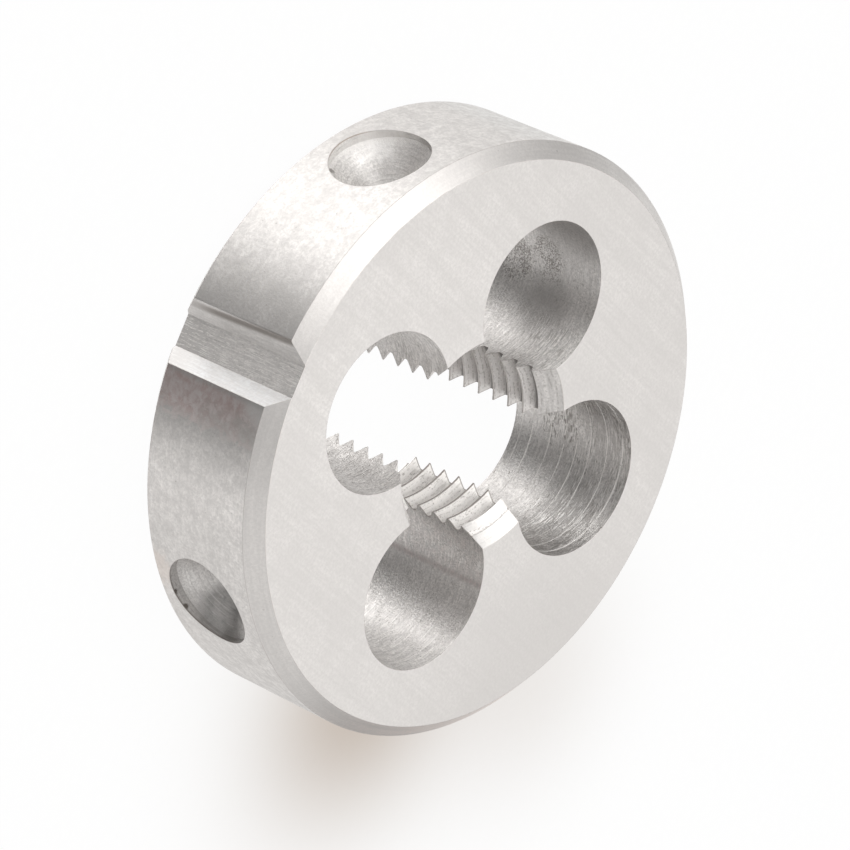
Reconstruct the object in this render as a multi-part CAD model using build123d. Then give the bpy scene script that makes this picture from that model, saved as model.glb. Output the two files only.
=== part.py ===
from build123d import *
import math
import os

# A solid round threading die for a right-hand fine thread of 1/2 inch, 20 per inch.
# It lies on its rear face. The origin is on the axis in that face, +Z points out of the
# front face, and the setting groove in the rim faces -Y.
# Headings are degrees about +Z, counted from the middle of the setting groove.
# All lengths are millimetres.

# Round body
BODY_DIAMETER = 38.0
BODY_THICKNESS = 10.0
FRONT_CHAMFER = 0.95
REAR_CHAMFER = 0.8
GROOVE_DIRECTION = -90.0

# Swarf holes, the first of them in line with the setting groove
SWARF_HOLE_COUNT = 4
SWARF_HOLE_DIAMETER = 10.16
SWARF_CIRCLE_DIAMETER = 18.92

# Cutting thread: THREAD_DIAMETER is the nominal size of the thread that it cuts, and
# TOOTH_PHASE is the height of a tooth tip at the setting groove's heading
THREAD_DIAMETER = 12.7
THREAD_PITCH = 1.27
THREAD_ANGLE = 60.0
TOOTH_TIP_FLAT = 0.12
THREAD_ROOT_FLAT = 0.4
TOOTH_PHASE = 0.62

# Lead cones that let the work into the thread
LEAD_HALF_ANGLE = 40.0
FRONT_LEAD_DIAMETER = 13.95
REAR_LEAD_DIAMETER = 13.4

# Setting groove across the rim
GROOVE_MOUTH_WIDTH = 4.1
GROOVE_FLOOR_WIDTH = 2.0
GROOVE_DEPTH = 1.0

# Conical seats in the rim for the holder's screws
SEAT_HEADINGS = (-47.0, 50.0)
SEAT_DIAMETER = 6.2
SEAT_LIP_DEPTH = 0.4
SEAT_CONE_ANGLE = 90.0
SEAT_HEIGHT = 4.8

# How far a cutting shape runs past the surface that it opens
OVERRUN = 1.0

body_radius = BODY_DIAMETER / 2
root_radius = THREAD_DIAMETER / 2
flank_run = (THREAD_PITCH - TOOTH_TIP_FLAT - THREAD_ROOT_FLAT) / 2
flank_slope = math.tan(math.radians(THREAD_ANGLE / 2))
tip_radius = root_radius - flank_run / flank_slope


def polygon_face(points, plane):
    """A flat face with straight edges through the points, drawn on the plane."""
    edges = Polyline(*points, close=True)
    return plane * make_face(edges)


def turned_body():
    """The disc with its two rim chamfers."""
    rear_flat = body_radius - REAR_CHAMFER
    front_flat = body_radius - FRONT_CHAMFER
    outline = [
        (0, 0),
        (rear_flat, 0),
        (body_radius, REAR_CHAMFER),
        (body_radius, BODY_THICKNESS - FRONT_CHAMFER),
        (front_flat, BODY_THICKNESS),
        (0, BODY_THICKNESS),
    ]
    return revolve(polygon_face(outline, Plane.XZ), Axis.Z)


def bore_with_leads():
    """The bore at the tooth tips, widened to a lead cone at each face."""
    lead_slope = math.tan(math.radians(LEAD_HALF_ANGLE))
    front_mouth = FRONT_LEAD_DIAMETER / 2
    rear_mouth = REAR_LEAD_DIAMETER / 2
    front_depth = (front_mouth - tip_radius) / lead_slope
    rear_depth = (rear_mouth - tip_radius) / lead_slope
    outline = [
        (0, -OVERRUN),
        (rear_mouth + OVERRUN * lead_slope, -OVERRUN),
        (tip_radius, rear_depth),
        (tip_radius, BODY_THICKNESS - front_depth),
        (front_mouth + OVERRUN * lead_slope, BODY_THICKNESS + OVERRUN),
        (0, BODY_THICKNESS + OVERRUN),
    ]
    return revolve(polygon_face(outline, Plane.XZ), Axis.Z)


def swarf_holes():
    """The round holes that break into the bore and leave a toothed land between them."""
    length = BODY_THICKNESS + 2 * OVERRUN
    hole = Cylinder(SWARF_HOLE_DIAMETER / 2, length, align=(Align.CENTER, Align.CENTER, Align.MIN))
    places = PolarLocations(
        SWARF_CIRCLE_DIAMETER / 2,
        SWARF_HOLE_COUNT,
        start_angle=GROOVE_DIRECTION,
    )
    return [Pos(0, 0, -OVERRUN) * place * hole for place in places]


def thread_turns():
    """The turns of the helical groove between the teeth, each from swarf hole to swarf hole."""
    inner_radius = tip_radius - OVERRUN / 10
    half_root = THREAD_ROOT_FLAT / 2
    half_mouth = half_root + (root_radius - inner_radius) * flank_slope
    section = [
        (root_radius, -half_root),
        (root_radius, half_root),
        (inner_radius, half_mouth),
        (inner_radius, -half_mouth),
    ]
    path = Helix(THREAD_PITCH, THREAD_PITCH, root_radius)
    turn = sweep(polygon_face(section, Plane.XZ), path=path, is_frenet=True)
    first_root = TOOTH_PHASE - THREAD_PITCH / 2
    first_turn = Pos(0, 0, first_root) * Rot(0, 0, GROOVE_DIRECTION) * turn
    top_turn = math.ceil(BODY_THICKNESS / THREAD_PITCH)
    return [Pos(0, 0, step * THREAD_PITCH) * first_turn for step in range(-1, top_turn + 1)]


def setting_groove():
    """The flat-bottomed groove along the whole rim, with sloping flanks."""
    floor = body_radius - GROOVE_DEPTH
    half_floor = GROOVE_FLOOR_WIDTH / 2
    half_mouth = GROOVE_MOUTH_WIDTH / 2
    rim_at_mouth = math.sqrt(body_radius**2 - half_mouth**2)
    flare = (half_mouth - half_floor) / (rim_at_mouth - floor)
    outer = rim_at_mouth + OVERRUN
    half_outer = half_mouth + OVERRUN * flare
    outline = [
        (floor, -half_floor),
        (outer, -half_outer),
        (outer, half_outer),
        (floor, half_floor),
    ]
    block = extrude(polygon_face(outline, Plane.XY), BODY_THICKNESS + 2 * OVERRUN)
    return Rot(0, 0, GROOVE_DIRECTION) * Pos(0, 0, -OVERRUN) * block


def screw_seat(heading):
    """One seat: a short round lip and a cone, with its axis square to the die's own."""
    radius = SEAT_DIAMETER / 2
    cone_depth = radius / math.tan(math.radians(SEAT_CONE_ANGLE / 2))
    rim_at_side = math.sqrt(body_radius**2 - radius**2)
    cone_start = rim_at_side - SEAT_LIP_DEPTH
    outline = [
        (cone_start - cone_depth, 0),
        (cone_start, radius),
        (body_radius + OVERRUN, radius),
        (body_radius + OVERRUN, 0),
    ]
    cutter = revolve(polygon_face(outline, Plane.XY), Axis.X)
    return Rot(0, 0, GROOVE_DIRECTION + heading) * Pos(0, 0, SEAT_HEIGHT) * cutter


def die_body():
    """The whole die, one piece of steel."""
    body = turned_body() - bore_with_leads()
    for hole in swarf_holes():
        body -= hole
    for turn in thread_turns():
        body -= turn
    body -= setting_groove()
    for heading in SEAT_HEADINGS:
        body -= screw_seat(heading)
    return body


os.makedirs("parts", exist_ok=True)
export_step(die_body(), "parts/die_body.step")
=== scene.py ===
import bmesh
import bpy
import math
from mathutils import Matrix, Vector
from mathutils.geometry import delaunay_2d_cdt


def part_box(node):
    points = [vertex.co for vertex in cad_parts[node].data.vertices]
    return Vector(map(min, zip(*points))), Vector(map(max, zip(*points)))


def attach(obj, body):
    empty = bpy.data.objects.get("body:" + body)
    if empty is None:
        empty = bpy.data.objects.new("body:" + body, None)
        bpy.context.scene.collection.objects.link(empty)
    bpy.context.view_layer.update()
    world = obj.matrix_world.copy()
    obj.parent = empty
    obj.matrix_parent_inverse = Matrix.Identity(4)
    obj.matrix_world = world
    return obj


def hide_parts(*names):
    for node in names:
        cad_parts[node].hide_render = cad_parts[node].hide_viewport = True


# A solid round threading die, lying on its rear face on a pale studio floor.
# The die's mesh is worked out in millimetres and set down in metres at the end.

MM = 0.001
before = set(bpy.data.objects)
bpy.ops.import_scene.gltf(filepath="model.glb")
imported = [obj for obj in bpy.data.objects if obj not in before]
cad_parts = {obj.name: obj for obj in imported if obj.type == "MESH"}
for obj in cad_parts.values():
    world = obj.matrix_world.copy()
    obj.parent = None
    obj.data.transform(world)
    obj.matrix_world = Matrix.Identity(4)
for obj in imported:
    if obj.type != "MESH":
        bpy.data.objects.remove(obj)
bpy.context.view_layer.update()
cad_low, cad_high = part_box("die_body")

# Round body, from the frame
BODY_RADIUS = (cad_high.x - cad_low.x) / 2 / MM
THICKNESS = (cad_high.z - cad_low.z) / MM
FRONT_CHAMFER = 0.95
REAR_CHAMFER = 0.8

# Swarf holes. HALF_SPACING is half the angle from one to the next. A wall's toothed ends turn
# straight by STRAIGHT_FROM, an angle at the hole's centre from its outer side
HOLE_RADIUS = 5.08
HOLE_CIRCLE = 9.46
HOLE_HEADINGS = (-90.0, 0.0, 90.0, 180.0)
HALF_SPACING = 45.0
STRAIGHT_FROM = 126.0
END_COLUMNS = 6
WALL_COLUMNS = 57
WALL_ROWS = 17

# Cutting thread and its lead cones. FIRST_TIP is the height of a tooth's tip at the setting groove
PITCH = 1.27
THREAD_RADIUS = 6.35
TIP_FLAT = 0.12
ROOT_FLAT = 0.4
FLANK_LEAN = math.tan(math.radians(30.0))
THREAD_TURNS = range(-2, 10)
FIRST_TIP = 0.62
TIP_RADIUS = THREAD_RADIUS - (PITCH - TIP_FLAT - ROOT_FLAT) / 2 / FLANK_LEAN
FRONT_MOUTH = 13.95 / 2
REAR_MOUTH = 13.4 / 2
LEAD_LEAN = math.tan(math.radians(40.0))
LEAD_STEPS = 4
LAND_COLUMNS = 15
SMALLEST_STEP = 0.012

# Setting groove in the rim, at heading -90
GROOVE_HALF_MOUTH = 2.05
GROOVE_HALF_FLOOR = 1.0
GROOVE_FLOOR = BODY_RADIUS - 1.0
FLOOR_COLUMNS = 7
HALVINGS = 50

# Screw seats in the rim, and the rings of points round them: how far out, and how many
SEAT_HEADINGS = (-137.0, -40.0)
SEAT_RADIUS = 3.1
SEAT_HEIGHT = 4.8
SEAT_LIP = math.sqrt(BODY_RADIUS**2 - SEAT_RADIUS**2) - 0.4
SEAT_APEX = SEAT_LIP - SEAT_RADIUS
SEAT_STEPS = 72
SEAT_ROWS = 15
SEAT_RINGS = ((0.0, SEAT_STEPS), (0.2, SEAT_STEPS), (0.5, 48))
SEAT_CLEARANCE = 0.75

# The rim's columns and rows, and the distances from the axis of its chamfers' rows
RIM_COLUMNS = 181
RIM_ROWS = 9
FLANK_RADII = (BODY_RADIUS - FRONT_CHAMFER, BODY_RADIUS - REAR_CHAMFER, 18.5, 18.75, BODY_RADIUS)

# The small rounds left on the machined edges, and the wider one along the groove's one side
EDGE_BREAK = 0.03
ROLLED_EDGE = 0.1

# The way that the grinding wheel ran over the flat faces
GRINDING_HEADING = 75.0

# How much longer a line across a sloping surface is than its height or its width
SLANT = 1.414
FLANK_SLANT = 1.3
TOOTH_SLANT = 1.6

# How far apart the marks lie on surfaces that share a finish, so that they differ
FRONT_APART = 60.0
LIP_APART = 30.0
SEAT_APART = 20.0

# The points that fill a flat face: rings, points for each mm of a ring's radius, degrees that a ring
# is turned for each mm, points round each hole, and how far they keep from the rim, bore and holes
FACE_RINGS = 10
POINTS_PER_MM = 5
TURN_PER_MM = 7
POINTS_ROUND_HOLE = 60
RIM_GAPS = (0.3, 1.2)
BORE_GAP = 0.6
HOLE_GAPS = (0.25, 0.5)

# Amounts in mm that count as nothing, and how close points are when they are joined
HAIR = 1e-9
ROUNDING = 1e-7
TOUCHING = 1e-6
MARGIN = 1e-5
ON_AXIS = 1e-4
WELD = 2e-4
SLACK = 1e-3

# The finishes, in the order of the die's materials
FACE, RIM, CHAMFER, GROOVE, SEAT, HOLE, LAND, LEAD, EDGE, ROLLED = range(10)


def heading(degrees):
    """The direction in the die's plane at this heading, and the one a quarter turn on."""
    turn = math.radians(degrees)
    out = Vector((math.cos(turn), math.sin(turn), 0))
    return out, Vector((-out.y, out.x, 0))


def between(low, high, count):
    """Evenly spaced values from low to high, with both ends."""
    return [low + (high - low) * step / (count - 1) for step in range(count)]


HOLE_CENTRES = [heading(degrees)[0] * HOLE_CIRCLE for degrees in HOLE_HEADINGS]
SEAT_AXES = [heading(degrees)[0] for degrees in SEAT_HEADINGS]


class Shell:
    """The die's outer skin while it is put together."""

    def __init__(self):
        self.mesh = bmesh.new()
        self.slope = self.mesh.faces.layers.float.new("slope")

    def corner(self, place):
        return self.mesh.verts.new(place)

    def face(self, corners, finish, slope=0.0):
        face = self.mesh.faces.new(corners)
        face.material_index = finish
        face[self.slope] = slope

    def grid(self, columns, finish):
        """Joins neighbouring columns of points that have the same count."""
        made = [[self.corner(place) for place in column] for column in columns]
        for left, right in zip(made, made[1:]):
            for step in range(len(left) - 1):
                ring = (left[step], right[step], right[step + 1], left[step + 1])
                places = [corner.co for corner in ring]
                apart = [a for k, a in enumerate(ring) if (places[k] - places[k - 1]).length > TOUCHING]
                if len(apart) > 2:
                    self.face(apart, finish)

    def zip(self, left, right, finish, slopes=(None, None)):
        """Joins two columns whose points differ in count, by the shorter diagonal each time."""
        a = [self.corner(place) for place in left]
        b = [self.corner(place) for place in right]
        i = j = 0
        while i < len(a) - 1 or j < len(b) - 1:
            rise_left = (a[i + 1].co - b[j].co).length if i < len(a) - 1 else math.inf
            rise_right = (a[i].co - b[j + 1].co).length if j < len(b) - 1 else math.inf
            if rise_left < rise_right:
                slope = slopes[0][i] if slopes[0] else 0.0
                self.face((a[i], b[j], a[i + 1]), finish, slope)
                i += 1
            else:
                slope = slopes[1][j] if slopes[1] else 0.0
                self.face((a[i], b[j], b[j + 1]), finish, slope)
                j += 1


def hole_angle(radius):
    """The angle at the die's axis between a swarf hole's heading and where it meets this radius."""
    share = (radius**2 + HOLE_CIRCLE**2 - HOLE_RADIUS**2) / (2 * radius * HOLE_CIRCLE)
    return math.degrees(math.acos(share))


def around(radius, degrees, height):
    """A point this far from the die's axis."""
    out, _ = heading(degrees)
    return Vector((out.x * radius, out.y * radius, height))


def hole_point(hole, degrees, height):
    """A point on a swarf hole's wall. The angle is at the hole's centre, from its outer side."""
    out, side = heading(HOLE_HEADINGS[hole])
    turn = math.radians(degrees)
    plan = out * (HOLE_CIRCLE + HOLE_RADIUS * math.cos(turn)) + side * HOLE_RADIUS * math.sin(turn)
    return Vector((plan.x, plan.y, height))


# The toothed lands


def thread_section():
    """One turn of the thread's section from tip to tip, as (height, radius) with small rounds."""
    half_root = ROOT_FLAT / 2
    half_tip = TIP_FLAT / 2
    ease = 0.035
    lean = ease * FLANK_LEAN
    rise = THREAD_RADIUS - TIP_RADIUS
    start = -PITCH / 2
    section = [
        (start, TIP_RADIUS),
        (start + half_tip - ease / 2, TIP_RADIUS),
        (start + half_tip + lean / 2, TIP_RADIUS + ease / 2),
        (-half_root - rise * FLANK_LEAN / 2, THREAD_RADIUS - rise / 2),
        (-half_root - lean, THREAD_RADIUS - ease),
        (-half_root + ease, THREAD_RADIUS),
        (0, THREAD_RADIUS),
    ]
    return section + [(-height, radius) for height, radius in reversed(section[:-1])]


def lead_section():
    """The bore with its two lead cones, as (height, radius)."""
    rear, front = REAR_MOUTH - TIP_RADIUS, FRONT_MOUTH - TIP_RADIUS
    rear_depth, front_depth = rear / LEAD_LEAN, front / LEAD_LEAN
    top = THICKNESS - front_depth
    steps = range(LEAD_STEPS + 1)
    section = [(rear_depth * k / LEAD_STEPS, REAR_MOUTH - rear * k / LEAD_STEPS) for k in steps]
    section += [(top + front_depth * k / LEAD_STEPS, TIP_RADIUS + front * k / LEAD_STEPS) for k in steps]
    return section


def radius_on(section, height):
    """The radius of a section at this height."""
    for (z0, r0), (z1, r1) in zip(section, section[1:]):
        if z0 <= height <= z1 and z1 > z0:
            return r0 + (r1 - r0) / (z1 - z0) * (height - z0)
    return 0.0


def land_column(hole, share):
    """A line of points up a land, where share runs from 0 to 1 across it, and each stretch's slope."""
    middle = HOLE_HEADINGS[hole] + HALF_SPACING

    def turn_at(radius):
        return middle + (2 * share - 1) * (HALF_SPACING - hole_angle(radius))

    def gap(height):
        return radius_on(thread, height) - radius_on(leads, height)

    thread = []
    first_root = FIRST_TIP - PITCH / 2
    for turn in THREAD_TURNS:
        for height, radius in thread_section()[:-1]:
            lift = PITCH * (turn + (turn_at(radius) + 90.0) / 360.0)
            thread.append((first_root + height + lift, radius))
    leads = lead_section()
    heights = {0.0, THICKNESS}
    heights |= {z for z, _ in thread if 0 < z < THICKNESS} | {z for z, _ in leads}
    heights = sorted(heights)
    stops = []
    for low, high in zip(heights, heights[1:]):
        gap_low, gap_high = gap(low + HAIR), gap(high - HAIR)
        stops.append(low)
        if gap_low * gap_high < 0 and min(abs(gap_low), abs(gap_high)) > ROUNDING:
            stops.append(low + (high - low) * gap_low / (gap_low - gap_high))
    stops.append(THICKNESS)
    kept = [stops[0]]
    for stop in stops[1:]:
        near_face = min(stop, THICKNESS - stop) < 4.5 * EDGE_BREAK
        if stop == THICKNESS or (stop - kept[-1] > SMALLEST_STEP and not near_face):
            kept.append(stop)
    points, slopes = [], []
    for index, height in enumerate(kept):
        inside = min(max(height, HAIR), THICKNESS - HAIR)
        radius = max(radius_on(thread, inside), radius_on(leads, inside))
        points.append(around(radius, turn_at(radius), height))
        if index:
            slopes.append((radius - before) / (height - kept[index - 1]))
        before = radius
    return points, slopes


def toothed_lands(shell):
    """The four lands between the swarf holes, and the outline that each leaves at the two faces."""
    columns = []
    for hole in range(4):
        land = [land_column(hole, share) for share in between(0, 1, LAND_COLUMNS)]
        for (left, left_slopes), (right, right_slopes) in zip(land, land[1:]):
            shell.zip(left, right, LAND, (left_slopes, right_slopes))
        columns.append([points for points, _ in land])
    for face in shell.mesh.faces:
        if abs(abs(face[shell.slope]) - LEAD_LEAN) < SLACK:
            face.material_index = LEAD
    return columns


# Swarf holes


def morphed(hole, edge, share):
    """The toothed edge of a hole's wall, moved part of the way to a straight line up the wall."""
    out, side = heading(HOLE_HEADINGS[hole])
    column = []
    for place in edge:
        plan = Vector((place.x, place.y, 0)) - HOLE_CENTRES[hole]
        turn = math.degrees(math.atan2(plan.dot(side), plan.dot(out)))
        straight = math.copysign(STRAIGHT_FROM, turn)
        column.append(hole_point(hole, turn + (straight - turn) * share, place.z))
    return column


def swarf_holes(shell, lands):
    """The walls of the four swarf holes, from land to land. Returns each wall's columns."""
    walls = []
    heights = between(0, THICKNESS, WALL_ROWS)
    for hole in range(4):
        before, after = lands[hole - 1][-1], lands[hole][0]
        start = [morphed(hole, before, share) for share in between(0, 1, END_COLUMNS)]
        finish = [morphed(hole, after, share) for share in between(1, 0, END_COLUMNS)]
        turns = between(-STRAIGHT_FROM, STRAIGHT_FROM, WALL_COLUMNS)[1:-1]
        middle = [[hole_point(hole, turn, height) for height in heights] for turn in turns]
        shell.grid(start, HOLE)
        shell.zip(start[-1], middle[0], HOLE)
        shell.grid(middle, HOLE)
        shell.zip(middle[-1], finish[0], HOLE)
        shell.grid(finish, HOLE)
        walls.append(start + middle + finish)
    return walls


# Rim, chamfers, setting groove, seats and flat faces


def flank_point(radius):
    """Where the groove's flank is this far from the die's axis: (across, out) in its plane."""
    flare = GROOVE_HALF_MOUTH - GROOVE_HALF_FLOOR
    depth = math.sqrt(BODY_RADIUS**2 - GROOVE_HALF_MOUTH**2) - GROOVE_FLOOR
    low, high = 0.0, 1.0
    for _ in range(HALVINGS):
        share = (low + high) / 2
        here = math.hypot(GROOVE_HALF_FLOOR + flare * share, GROOVE_FLOOR + depth * share)
        low, high = (share, high) if here < radius else (low, share)
    return GROOVE_HALF_FLOOR + flare * share, GROOVE_FLOOR + depth * share


def groove_angle(radius):
    """Half the angle that the groove takes out of a circle of this radius."""
    across, out = flank_point(radius)
    return math.degrees(math.atan2(across, out))


def ends_at(radius):
    """The heights of the body's rear and front surfaces at this distance from the axis."""
    rear = max(0.0, radius - (BODY_RADIUS - REAR_CHAMFER))
    front = THICKNESS - max(0.0, radius - (BODY_RADIUS - FRONT_CHAMFER))
    return rear, front


def rim_turns(radius):
    """Headings all round the rim at this radius, from the groove's one side to its other."""
    half = groove_angle(radius)
    return between(-90.0 + half, 270.0 - half, RIM_COLUMNS)


def chamfers(shell):
    """The turned chamfers at the front and the rear of the rim."""
    for radii, level in ((FLANK_RADII, 1), (FLANK_RADII[1:], 0)):
        rings = [[around(r, turn, ends_at(r)[level]) for turn in rim_turns(r)] for r in radii]
        shell.grid(rings, CHAMFER)


def setting_groove(shell):
    """The groove's floor and its two sloping flanks. Returns its plan, from side to side."""
    flank = [flank_point(radius) for radius in reversed(FLANK_RADII)]
    across_floor = between(GROOVE_HALF_FLOOR, -GROOVE_HALF_FLOOR, FLOOR_COLUMNS)
    floor = [(across, GROOVE_FLOOR) for across in across_floor]
    plan = flank + floor + [(-across, out) for across, out in reversed(flank)]
    columns = []
    for across, out in plan:
        low, high = ends_at(math.hypot(across, out))
        columns.append([Vector((across, -out, height)) for height in between(low, high, RIM_ROWS)])
    shell.grid(columns, GROOVE)
    return plan


def seat_rim(turn, reach):
    """A point of a ring round a screw seat, unrolled: degrees round the rim from its heading, and height."""
    across = reach * math.cos(turn)
    return math.degrees(math.asin(across / BODY_RADIUS)), SEAT_HEIGHT + reach * math.sin(turn)


def fill(points, keep, place, shell, finish):
    """Fills a region of the plane with triangles through these points, where keep says so."""
    flat = [Vector(point) for point in points]
    spots, _, triangles, *_ = delaunay_2d_cdt(flat, [], [], 0, ROUNDING, True)
    corners = [shell.corner(place(spot)) for spot in spots]
    used = set()
    for ring in triangles:
        middle = sum((spots[k] for k in ring), Vector((0, 0))) / 3
        a, b, c = (spots[k] for k in ring)
        if abs((b - a).cross(c - a)) > ROUNDING and keep(middle):
            shell.face([corners[k] for k in ring], finish)
            used |= set(ring)
    for k, corner in enumerate(corners):
        if k not in used:
            shell.mesh.verts.remove(corner)


def rim(shell):
    """The round rim between its chamfers, groove and seats, laid out flat in mm for the filling."""
    roll = math.radians(1) * BODY_RADIUS
    low, high = ends_at(BODY_RADIUS)
    turns = rim_turns(BODY_RADIUS)
    heights = between(low, high, RIM_ROWS)
    centres = [SEAT_HEADINGS[0] + 360.0, SEAT_HEADINGS[1]]
    points = [(turn * roll, height) for turn in turns for height in (low, high)]
    points += [(turn * roll, height) for turn in (turns[0], turns[-1]) for height in heights[1:-1]]

    def clear(turn, height):
        aways = [math.hypot((turn - centre) * roll, height - SEAT_HEIGHT) for centre in centres]
        return min(aways) > SEAT_RADIUS + SEAT_CLEARANCE

    inner = [(turn, height) for turn in turns[1:-1] for height in heights[1:-1]]
    points += [(turn * roll, height) for turn, height in inner if clear(turn, height)]
    for centre in centres:
        for gap, count in SEAT_RINGS:
            for step in range(count):
                turn, height = seat_rim(math.tau * step / count, SEAT_RADIUS + gap)
                points.append(((centre + turn) * roll, height))

    def solid(spot):
        for centre in centres:
            turn = spot.x / roll - centre
            across = BODY_RADIUS * math.sin(turn * math.radians(1))
            if abs(turn) < 45 and math.hypot(across, spot.y - SEAT_HEIGHT) < SEAT_RADIUS - MARGIN:
                return False
        return True

    fill(points, solid, lambda spot: around(BODY_RADIUS, spot.x / roll, spot.y), shell, RIM)


def screw_seats(shell):
    """The two seats: a short lip and a cone, each turned about its own axis."""
    for degrees in SEAT_HEADINGS:
        out, side = heading(degrees)
        columns = []
        for step in range(SEAT_STEPS + 1):
            turn = math.tau * step / SEAT_STEPS
            across = SEAT_RADIUS * math.cos(turn)
            edge = math.sqrt(BODY_RADIUS**2 - across**2)
            rings = [(edge, SEAT_RADIUS), ((edge + SEAT_LIP) / 2, SEAT_RADIUS)]
            rings += [(SEAT_APEX + reach, reach) for reach in between(SEAT_RADIUS, 0.0, SEAT_ROWS)]
            column = []
            for along, reach in rings:
                place = out * along + side * reach * math.cos(turn)
                column.append(Vector((place.x, place.y, SEAT_HEIGHT + reach * math.sin(turn))))
            columns.append(column)
        shell.grid(columns, SEAT)


def flat_faces(shell, lands, walls, groove):
    """The ground front and rear faces, filled between the bore's outline and the chamfer."""
    for level in (0, 1):
        radius = BODY_RADIUS - (FRONT_CHAMFER if level else REAR_CHAMFER)
        mouth = FRONT_MOUTH if level else REAR_MOUTH
        end = -1 if level else 0
        outline = [column[end] for group in lands + walls for column in group]
        outline += [around(radius, turn, 0) for turn in rim_turns(radius)]
        notch = [(across, out) for across, out in groove if math.hypot(across, out) < radius + TOUCHING]
        outline += [Vector((across, -out, 0)) for across, out in notch]
        spots = [(place.x, place.y) for place in outline]
        spots += [tuple(around(radius - RIM_GAPS[0], turn, 0).xy) for turn in between(0, 358, 180)]
        for ring in between(mouth + BORE_GAP, radius - RIM_GAPS[1], FACE_RINGS):
            count = int(ring * POINTS_PER_MM)
            for step in range(count):
                spot = around(ring, 360.0 * step / count + ring * TURN_PER_MM, 0)
                if min((spot - centre).length for centre in HOLE_CENTRES) > HOLE_RADIUS + HOLE_GAPS[1]:
                    spots.append((spot.x, spot.y))
        for hole, centre in enumerate(HOLE_CENTRES):
            for turn in between(-120, 120, POINTS_ROUND_HOLE):
                spot = hole_point(hole, turn, 0) - centre
                spots.append(tuple((centre + spot * (1 + HOLE_GAPS[0] / HOLE_RADIUS)).xy))

        def solid(spot):
            if spot.length < mouth - MARGIN:
                return False
            if min((spot - centre.xy).length for centre in HOLE_CENTRES) < HOLE_RADIUS - MARGIN:
                return False
            return not (abs(spot.x) < GROOVE_HALF_MOUTH and spot.y < -GROOVE_FLOOR and in_groove(spot))

        def in_groove(spot):
            share = (-spot.y - GROOVE_FLOOR) / (flank_point(BODY_RADIUS)[1] - GROOVE_FLOOR)
            flare = GROOVE_HALF_MOUTH - GROOVE_HALF_FLOOR
            return abs(spot.x) < GROOVE_HALF_FLOOR + share * flare - TOUCHING

        height = THICKNESS * level
        fill(spots, solid, lambda spot: Vector((spot.x, spot.y, height)), shell, FACE)


def finish_normal(place, face, slope):
    """The true direction that a surface faces at one of its points, from the surface's own form."""
    plan = Vector((place.x, place.y, 0))
    out = plan.normalized()
    middle = face.calc_center_median()
    finish = face.material_index
    if finish == RIM:
        return out
    if finish == CHAMFER:
        return (out + Vector((0, 0, 1 if place.z > THICKNESS / 2 else -1))).normalized()
    if finish == HOLE:
        centre = min(HOLE_CENTRES, key=lambda centre: (centre.xy - middle.xy).length)
        return (centre - plan).normalized()
    if finish in (LAND, LEAD):
        along = Vector((-out.y, out.x, 0))
        helical = PITCH / (math.tau * plan.length) if finish == LAND else 0
        return (-out + Vector((0, 0, slope)) - along * helical * slope).normalized()
    if finish == SEAT:
        axis = max(SEAT_AXES, key=middle.dot)
        rise = Vector((0, 0, SEAT_HEIGHT))
        reach = (place - rise) - axis * (place - rise).dot(axis)
        if reach.length < ON_AXIS:
            reach = middle - rise
            reach -= axis * reach.dot(axis)
        inward = -reach.normalized()
        return inward if (middle - rise).dot(axis) > SEAT_LIP else (inward + axis).normalized()
    return face.normal.copy()


def round_off(mesh, pairs, size, finish=EDGE, only=lambda edge: True):
    """Rounds the edges between these pairs of surfaces."""
    edges = [edge for edge in mesh.edges if {face.material_index for face in edge.link_faces} in pairs]
    wanted = [edge for edge in edges if only(edge)]
    shape = {"offset_type": "OFFSET", "segments": 2, "profile": 0.5, "affect": "EDGES"}
    shape |= {"clamp_overlap": True, "loop_slide": False}
    bmesh.ops.bevel(mesh, geom=wanted, offset=size, material=finish, **shape)


def break_edges(shell):
    """Rounds the edges where machined surfaces meet, apart from the teeth's cutting edges."""
    round_off(shell.mesh, [{RIM, GROOVE}], ROLLED_EDGE, ROLLED, lambda edge: edge.verts[0].co.x < 0)
    pairs = [{FACE, HOLE}, {FACE, LEAD}, {FACE, CHAMFER}, {CHAMFER, RIM}, {RIM, SEAT}, {RIM, GROOVE}]
    pairs += [{CHAMFER, GROOVE}, {FACE, GROOVE}]
    round_off(shell.mesh, pairs, EDGE_BREAK)


def tool_path(place, face, normal):
    """The way the tool or the grinding wheel ran over the surface at this point."""
    finish = face.material_index
    if finish == FACE:
        return heading(GRINDING_HEADING)[0]
    if finish == GROOVE:
        return Vector((0, 0, 1))
    if finish == SEAT:
        return max(SEAT_AXES, key=place.dot).cross(normal).normalized()
    path = Vector((0, 0, 1)).cross(normal)
    return path.normalized() if path.length > SLACK else Vector((1, 0, 0))


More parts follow.
